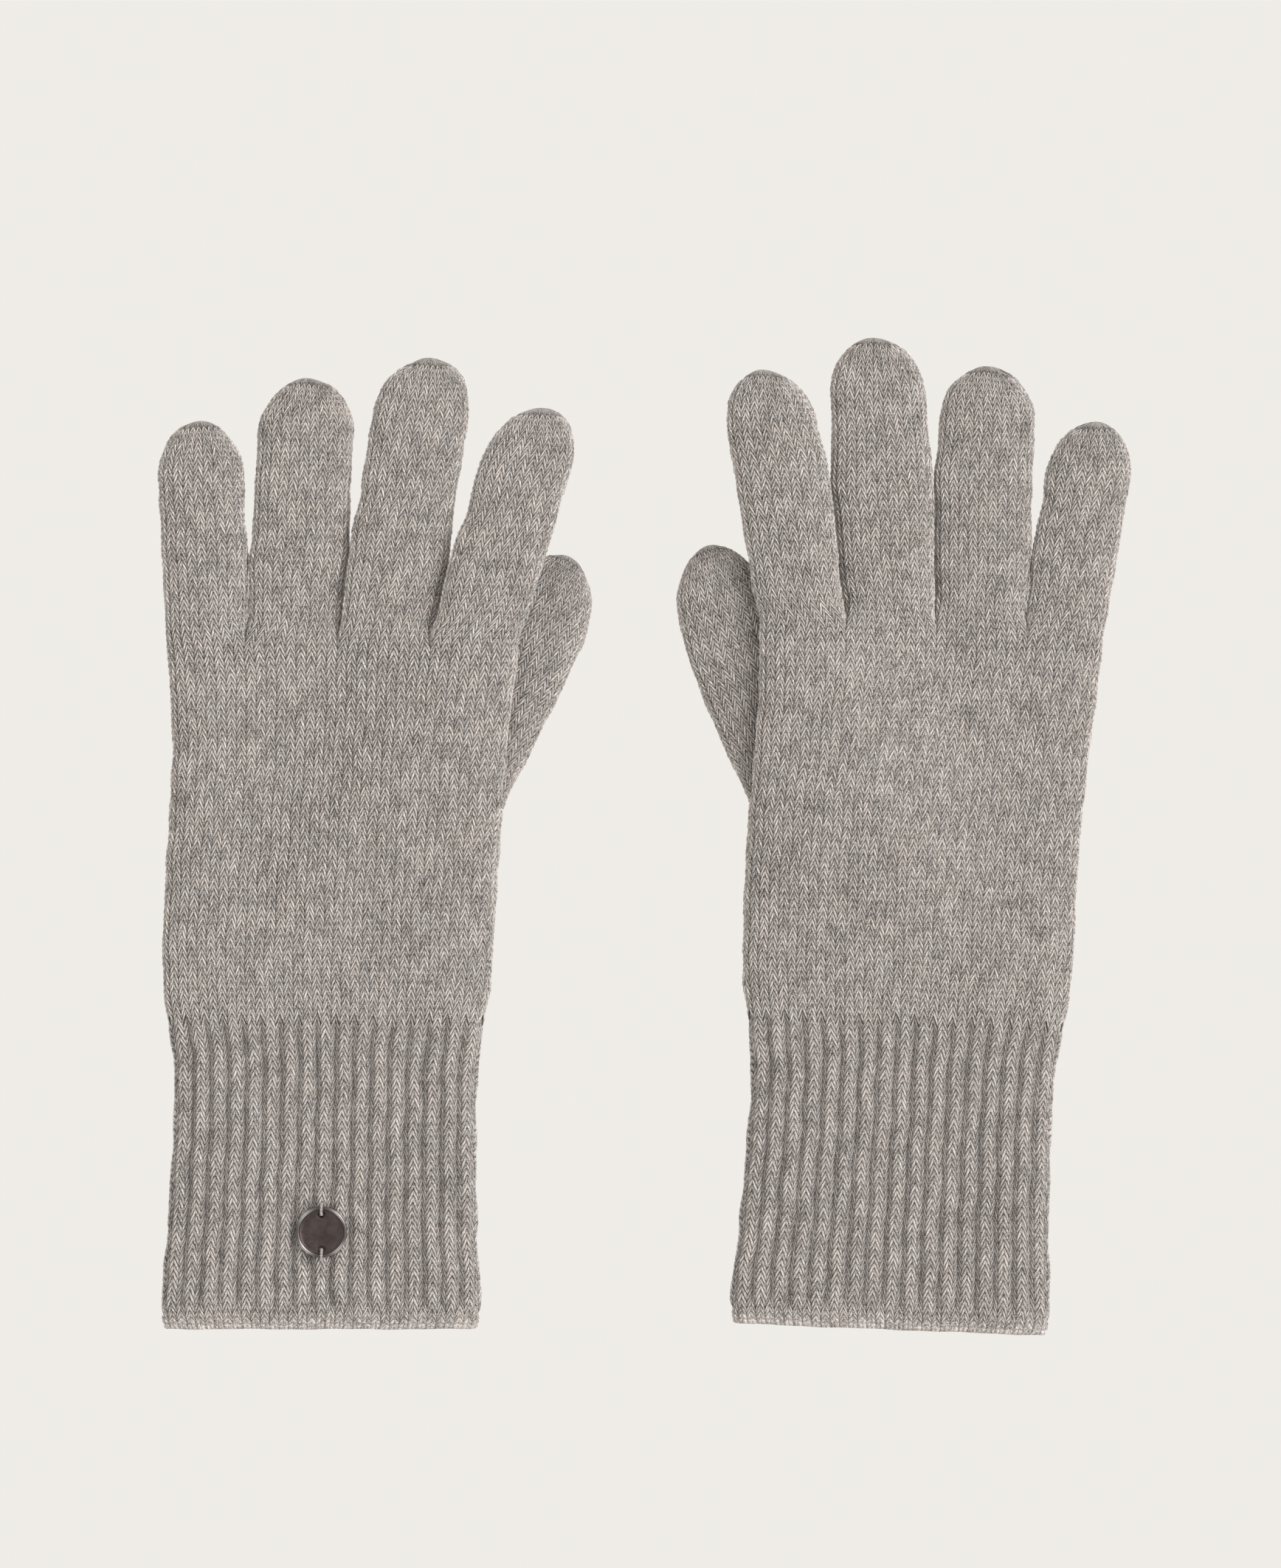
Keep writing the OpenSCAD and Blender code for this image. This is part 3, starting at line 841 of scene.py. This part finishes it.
def make_sewing_yarn(glove, centre, radius, thick):
    """Two stitches of two-ply yarn, each up through a hole, over the rim and down beyond it.

    A stitch's path is a line, a half circle and a line. Its section is two plies side by
    side, |cos| of the angle round it, turned once every YARN_TWIST. It thins at both ends.
    """
    reach = (radius + YARN_WIDTH / 2 + YARN_SLACK - HOLE_OFFSET) / 2
    leg = thick + YARN_BURIED
    length = 2 * leg + np.pi * reach
    along = np.linspace(0, length, 90)[:, None]
    turn = np.clip((along - leg) / reach, 0, np.pi)
    bottom = np.minimum(along, leg) - np.clip(along - length + leg, 0, leg)
    path_y = -reach * np.cos(turn)
    path_z = bottom + reach * np.sin(turn)
    angle = np.linspace(0, 2 * np.pi, 21)[:-1]
    size = YARN_WIDTH / 2 * np.maximum(np.abs(np.cos(angle)), 0.45)
    size = size * (1 - 0.5 * (np.abs(along / length - 0.5) > 0.495))
    way = angle + 2 * np.pi * along / YARN_TWIST
    out_x = size * np.cos(way)
    out_way = size * np.sin(way)
    loop = np.stack([
        out_x, path_y - out_way * np.cos(turn), path_z + out_way * np.sin(turn)
    ], -1)
    ends = np.array([[0, -reach, 0], [0, reach, 0]])
    rows, columns = loop.shape[:2]
    quads, row, column = grid_faces(0, rows, columns, False)
    k = np.arange(columns)
    nxt = (k + 1) % columns
    last = (rows - 1) * columns
    apex = rows * columns
    threes = np.concatenate([
        np.stack([np.full(columns, apex), nxt, k], 1)[:, ::-1],
        np.stack([np.full(columns, apex + 1), last + k, last + nxt], 1)[:, ::-1]
    ])
    stitch = np.concatenate([loop.reshape(-1, 3), ends]) + (0, HOLE_OFFSET + reach, 0)
    points = np.concatenate([stitch, stitch * (-1, -1, 1)]) + centre
    count = len(stitch)
    piece = add_piece("left_button_sewing_yarn", glove.to_world(points),
                      np.concatenate([quads, quads + count]),
                      np.concatenate([threes, threes + count]))
    corner = np.stack([column / columns, row * length / rows], -1).reshape(-1, 2)
    fans = np.zeros((6 * len(threes), 2))
    give_uv(piece, "twist", np.concatenate([corner, corner, fans]))
    finish(piece, sewing_yarn("sewing_yarn"), "sewing_yarn", "left_button_yarn")
    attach(piece, "left_cuff")


# ---------------------------------------------------------------- materials

class Recipe:
    """A new material: makes its nodes, feeds them with numbers and links, and sets its shader."""

    def __init__(self, name):
        self.material = bpy.data.materials.new(name)
        self.material.use_nodes = True
        self.tree = self.material.node_tree

    def feed(self, made, inputs):
        """Each named or numbered input gets a link or a value of its own."""
        for socket, value in inputs.items():
            if isinstance(value, bpy.types.NodeSocket):
                self.tree.links.new(value, made.inputs[socket])
            else:
                made.inputs[socket].default_value = value

    def node(self, kind, inputs, **settings):
        """A shader node with its settings and inputs."""
        made = self.tree.nodes.new("ShaderNode" + kind)
        for key, value in settings.items():
            setattr(made, key, value)
        self.feed(made, inputs)
        return made

    def shade(self, inputs):
        """The inputs of the material's own shader."""
        self.feed(self.tree.nodes["Principled BSDF"], inputs)

    def place(self):
        """The place on the object, in metres."""
        return self.node("TexCoord", {}).outputs["Object"]

    def math(self, operation, a, b=0.0, c=0.0):
        return self.node("Math", {0: a, 1: b, 2: c}, operation=operation).outputs[0]

    def step(self, value, low, high, start, end):
        """A smooth step from start, where the value is low, to end, where it is high."""
        made = self.node("MapRange", {0: value, 1: low, 2: high, 3: start, 4: end},
                         interpolation_type="SMOOTHSTEP")
        return made.outputs[0]

    def noise(self, vector, scale, detail, roughness=0.5, flat=False):
        made = self.node("TexNoise", {
            "Vector": vector, "Scale": scale, "Detail": detail, "Roughness": roughness
        }, noise_dimensions="2D" if flat else "3D")
        return made.outputs[0]

    def tones(self, value, low, low_tone, high, high_tone):
        """A colour that goes from one tone to the other between two values."""
        made = self.node("ValToRGB", {0: value})
        first, second = made.color_ramp.elements
        first.position = low
        first.color = (*low_tone, 1)
        second.position = high
        second.color = (*high_tone, 1)
        return made.outputs[0]

    def times(self, a, b):
        """One colour multiplied by another."""
        made = self.node("Mix", {"Factor": 1.0, 6: a, 7: b},
                         data_type="RGBA", blend_type="MULTIPLY")
        return made.outputs[2]

    def bump(self, height, strength, distance):
        made = self.node("Bump", {
            "Strength": strength, "Distance": distance, "Height": height
        })
        return made.outputs[0]


def wool(name, soft_start):
    """Heathered wool: each leg its own tone, fibres twisted along it, soft patches of warmer
    and cooler grey, lint, and painted shade: a fine dark line where one leg goes under the next,
    darker bands along each wale's middle and edges, and more by each point's own value. On the
    cuff the painted lines start soft, in the welt."""
    recipe = Recipe(name)
    math = recipe.math
    stitch = recipe.node("UVMap", {}, uv_map="stitches")
    split = recipe.node("SeparateXYZ", {0: stitch.outputs[0]})
    wale_at, course_at = split.outputs[:2]
    across = math("SUBTRACT", math("FRACT", wale_at), 0.5)
    from_middle = math("ABSOLUTE", across)
    up = math("FRACT", course_at)
    course = math("FLOOR", course_at)
    leg = math("MULTIPLY_ADD", math("FLOOR", wale_at), 2.0, math("GREATER_THAN", across, 0.0))

    # Each leg's own tone, and fibres that run slantwise along it
    number = recipe.node("CombineXYZ", {0: leg, 1: course, 2: 0.0})
    tone = recipe.node("TexWhiteNoise", {"Vector": number.outputs[0]},
                       noise_dimensions="3D")
    twist = math("MULTIPLY_ADD", from_middle, 2.0, math("MULTIPLY", up, 0.9))
    strand = recipe.node("CombineXYZ", {
        0: math("MULTIPLY_ADD", leg, 17.3, math("MULTIPLY", from_middle, 3.1)),
        1: math("MULTIPLY_ADD", course, 9.7, math("MULTIPLY", twist, 3.2)),
        2: 0.0
    })
    fibre = recipe.noise(strand.outputs[0], scale=1.7, detail=3.0, roughness=0.62, flat=True)

    place = recipe.place()
    patch = recipe.noise(place, scale=190.0, detail=3.0, roughness=0.6)
    warmth = recipe.noise(place, scale=120.0, detail=4.0, roughness=0.65)
    lint = recipe.noise(place, scale=2600.0, detail=2.0, roughness=0.7)
    value = 0.5
    for source, amount in ((fibre, FIBRE_TONE), (tone.outputs[0], LEG_TONE),
                           (patch, PATCH_TONE), (lint, LINT_TONE)):
        value = math("MULTIPLY_ADD", math("SUBTRACT", source, 0.5), amount, value)
    heather = recipe.tones(value, 0.0, DARK_WOOL, 1.0, LIGHT_WOOL)
    tint = recipe.tones(warmth, 0.36, (0.98, 1.0, 1.003), 0.64, (1.0, 0.99, 0.966))

    # Painted shade where legs cross, along a wale's middle and edges, deep in the rib, inside and
    # on thinner legs
    between = math("MINIMUM", up, math("SUBTRACT", 1.0, up))
    crossing_shade = recipe.step(between, 0.0, CROSSING_WIDTH, CROSSING_SHADE, 1.0)
    if soft_start:
        fade = recipe.step(course_at, 0.5, 4.0, 0.25, 1.0)
        line = math("MULTIPLY", math("SUBTRACT", 1.0, crossing_shade), fade)
        crossing_shade = math("SUBTRACT", 1.0, line)
    middle = recipe.step(from_middle, 0.0, 0.1, 0.72, 1.0)
    edge = recipe.step(from_middle, 0.38, 0.5, 1.0, 0.58)
    painted_shade = math("MULTIPLY", math("MULTIPLY", crossing_shade, middle), edge)
    # Painted shade from each point's value: darker deep in the rib, on the inside, on thinner legs
    height = recipe.node("Attribute", {}, attribute_name="painted_yarn_shade")
    deep = math("MULTIPLY_ADD", height.outputs["Fac"], 0.5, 0.55)
    painted_shade = math("MULTIPLY", painted_shade, math("MINIMUM", deep, 1.04))
    grey = recipe.node("CombineColor", {0: painted_shade, 1: painted_shade, 2: painted_shade})
    fuzz = math("MULTIPLY_ADD", lint, 0.6, fibre)
    recipe.shade({
        "Base Color": recipe.times(recipe.times(heather, tint), grey.outputs[0]),
        "Normal": recipe.bump(fuzz, strength=0.55, distance=0.00022),
        "Roughness": 0.92,
        "Specular IOR Level": 0.18,
        "Sheen Weight": 0.35,
        "Sheen Roughness": 0.4,
        "Sheen Tint": (0.9, 0.88, 0.86, 1)
    })
    return recipe.material


def sewing_yarn(name):
    """Two-ply sewing yarn: fibres run with the twist, some light and some dark."""
    recipe = Recipe(name)
    twisted = recipe.node("UVMap", {}, uv_map="twist")
    stretched = recipe.node("Mapping", {
        "Vector": twisted.outputs[0], "Scale": (26, 3.5, 1)
    })
    fibre = recipe.noise(stretched.outputs[0], scale=1.0, detail=4.0, roughness=0.65)
    recipe.shade({
        "Base Color": recipe.tones(fibre, 0.3, (0.20, 0.185, 0.172), 0.72, (0.62, 0.59, 0.56)),
        "Normal": recipe.bump(fibre, strength=0.6, distance=0.0001),
        "Roughness": 0.85,
        "Sheen Weight": 0.3
    })
    return recipe.material


def gunmetal(name, centre):
    """Dark plated metal, turned on a lathe: fine rings round its centre, a little cloudy
    tarnish, fine scratches, and a painted highlight of bright metal along the rim."""
    recipe = Recipe(name)
    place = recipe.place()
    centred = recipe.node("Mapping", {
        "Vector": place, "Location": (-centre[0], -centre[1], 0), "Scale": (1, 1, 0)
    })
    radius = recipe.node("VectorMath", {0: centred.outputs[0]}, operation="LENGTH")
    rings = recipe.node("TexNoise", {
        "W": recipe.math("MULTIPLY", radius.outputs["Value"], 9000.0), "Scale": 1.0, "Detail": 2.0
    }, noise_dimensions="1D")
    tarnish = recipe.noise(place, scale=420.0, detail=5.0, roughness=0.62)
    along = recipe.node("Mapping", {
        "Vector": place, "Rotation": (0, 0, 0.6), "Scale": (900, 9000, 900)
    })
    scratch = recipe.noise(along.outputs[0], scale=1.0, detail=1.0)
    cloud = recipe.tones(tarnish, 0.32, (0.060, 0.046, 0.044), 0.7, (0.092, 0.074, 0.070))
    # Painted highlight: where the points' values say, the metal turns bright and pale
    painted_highlight = recipe.node("Attribute", {}, attribute_name="painted_highlight")
    bright = recipe.node("Mix", {
        "Factor": painted_highlight.outputs["Fac"], 6: cloud, 7: (0.80, 0.775, 0.76, 1)
    }, data_type="RGBA")
    rough = recipe.node("MapRange", {0: tarnish, 1: 0.3, 2: 0.7, 3: 0.3, 4: 0.46})
    marks = recipe.math("MULTIPLY_ADD", scratch, 0.5, rings.outputs[0])
    recipe.shade({
        "Base Color": bright.outputs[2],
        "Normal": recipe.bump(marks, strength=0.25, distance=0.00003),
        "Roughness": rough.outputs[0],
        "Metallic": 0.9
    })
    return recipe.material


PLAIN_KNIT = (wool("plain_knit_wool", False), "plain_knit", PLAIN_WALL)
RIB_KNIT = (wool("rib_knit_wool", True), "rib_knit", RIB_WALL)


def blended(piece, glove, start, end):
    """Bakes the piece's transform into its mesh; start and end, in the glove's own frame, are
    turned into metres and not used further.
    """
    start = tuple(Vector(glove.to_world(start)))
    end = tuple(Vector(glove.to_world(end)))
    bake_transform(piece)
    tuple(start)


def knit_tube(glove, name, tube, courses, seed, joints, way, root_blend):
    """A finger or thumb: its base, up to the split course, and its tip beyond it, with the
    places round the first and second joints passed to blended. The way is along the tube."""
    start, split = courses
    root, crease = joints
    relief = plain_relief(seed, tube.wales, tube.courses)
    base = knit(f"{name}_base", glove, tube.surface, tube.level, tube.wales,
                (start, split), relief, PLAIN_KNIT)
    blended(base, glove, root, root + way * root_blend)
    tip = knit(f"{name}_tip", glove, tube.surface, tube.level, tube.wales,
               (split, tube.courses), relief, PLAIN_KNIT, tube.low_side)
    blended(tip, glove, crease - way * BEND_BLEND, crease + way * BEND_BLEND)


def make_glove(side, seed):
    """Knits a glove: welt, rib, the hand in two sections, the thumb and four fingers."""
    glove = Glove(side)
    cuff_courses = round(glove.cuff_top / COURSE)
    cuff_course = glove.cuff_top / cuff_courses
    hand_courses = round((glove.root - glove.cuff_top) / COURSE)
    hand_course = (glove.root - glove.cuff_top) / hand_courses
    thumb_courses = round((glove.thumb_corner[1] - glove.cuff_top) / hand_course)

    def cuff_level(t, w):
        """Up the cuff: straight at the mouth, full zigzags from the fourth course on."""
        return cuff_course * (w - zigzag(t) * ease(w / 4))

    def hand_level(t, w):
        """Up the hand, counted from the cuff's last course."""
        return glove.cuff_top + hand_course * (w - zigzag(t))

    rib = rib_relief(glove, seed)
    plain = plain_relief(seed + 1, WALES, hand_courses)
    welt = knit("cuff_welt", glove, glove.ribbed, cuff_level, WALES,
                (0, WELT_COURSES), rib, RIB_KNIT)
    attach(welt, f"{side}_cuff")
    ribbing = knit("rib_cuff", glove, glove.ribbed, cuff_level, WALES,
                   (WELT_COURSES, cuff_courses), rib, RIB_KNIT)
    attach(ribbing, f"{side}_cuff")
    lower = knit("lower_palm", glove, glove.body, hand_level, WALES,
                 (0, thumb_courses), plain, PLAIN_KNIT)
    centre = glove.joint("wrist")
    blended(lower, glove, (centre[0], glove.cuff_top, centre[2]),
            (centre[0], glove.cuff_top + WRIST_BLEND, centre[2]))
    upper = knit("upper_palm", glove, glove.body, hand_level, WALES,
                 (thumb_courses, hand_courses), plain, PLAIN_KNIT)
    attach(upper, f"{side}_hand")

    for number, name in enumerate(FINGERS):
        finger = Finger(glove, name)
        knit_tube(glove, name, finger, (0, SPLIT_COURSE), seed + 10 + number,
                  (finger.knuckle, finger.bend), np.array([0, 1, 0]), KNUCKLE_BLEND)
    thumb = Thumb(glove)
    knit_tube(glove, "thumb", thumb, (-1, round(THUMB_SPLIT / thumb.course)), seed + 20,
              (glove.thumb_corner, glove.joint("thumb_bend")), np.array([*glove.thumb_way, 0]),
              THUMB_BLEND)
    return glove


def make_camera():
    """A long lens straight above, framed on VIEW_CENTRE."""
    data = bpy.data.cameras.new("camera")
    camera = bpy.data.objects.new("camera", data)
    bpy.context.scene.collection.objects.link(camera)
    camera.location = (*VIEW_CENTRE, CAMERA_ABOVE)
    data.sensor_fit = "VERTICAL"
    data.sensor_height = SENSOR
    data.lens = SENSOR * CAMERA_ABOVE / VIEW_HEIGHT
    data.clip_end = 20
    bpy.context.scene.camera = camera


def soft_sun(name, way, spread, strength):
    """A sun that shines along way, spread over a wide angle so that its shadows are soft."""
    data = bpy.data.lights.new(name, "SUN")
    data.angle = spread
    data.energy = strength
    light = bpy.data.objects.new(name, data)
    light.rotation_euler = Vector(way).to_track_quat("-Z", "Y").to_euler()
    bpy.context.scene.collection.objects.link(light)


def make_studio():
    """A pale backdrop below the gloves that shows no shadow, light from all round, and one
    soft light from the thumb side of the left glove."""
    world = bpy.data.worlds.new("studio")
    bpy.context.scene.world = world
    world.use_nodes = True
    sky = world.node_tree.nodes["Background"]
    sky.inputs["Color"].default_value = (*BACKDROP, 1)
    sky.inputs["Strength"].default_value = 1.0
    soft_sun("soft_key", way=(-1.1, -0.4, -1.2), spread=0.7, strength=1.7)

    corners = [(x * FLOOR_REACH, y * FLOOR_REACH, -FLOOR_BELOW)
               for x, y in ((-1, -1), (1, -1), (1, 1), (-1, 1))]
    mesh = bpy.data.meshes.new("floor")
    mesh.from_pydata(corners, [], [(0, 1, 2, 3)])
    floor = bpy.data.objects.new("floor", mesh)
    bpy.context.scene.collection.objects.link(floor)
    recipe = Recipe("pale_backdrop")
    glow = recipe.node("Emission", {"Color": (*BACKDROP, 1), "Strength": 1.0})
    recipe.feed(recipe.tree.nodes["Material Output"], {"Surface": glow.outputs[0]})
    floor.data.materials.append(recipe.material)
    bpy.context.scene.view_settings.view_transform = "Standard"


make_camera()
make_studio()
left = make_glove("left", 100)
make_sewing_yarn(left, *make_button(left))
make_glove("right", 200)
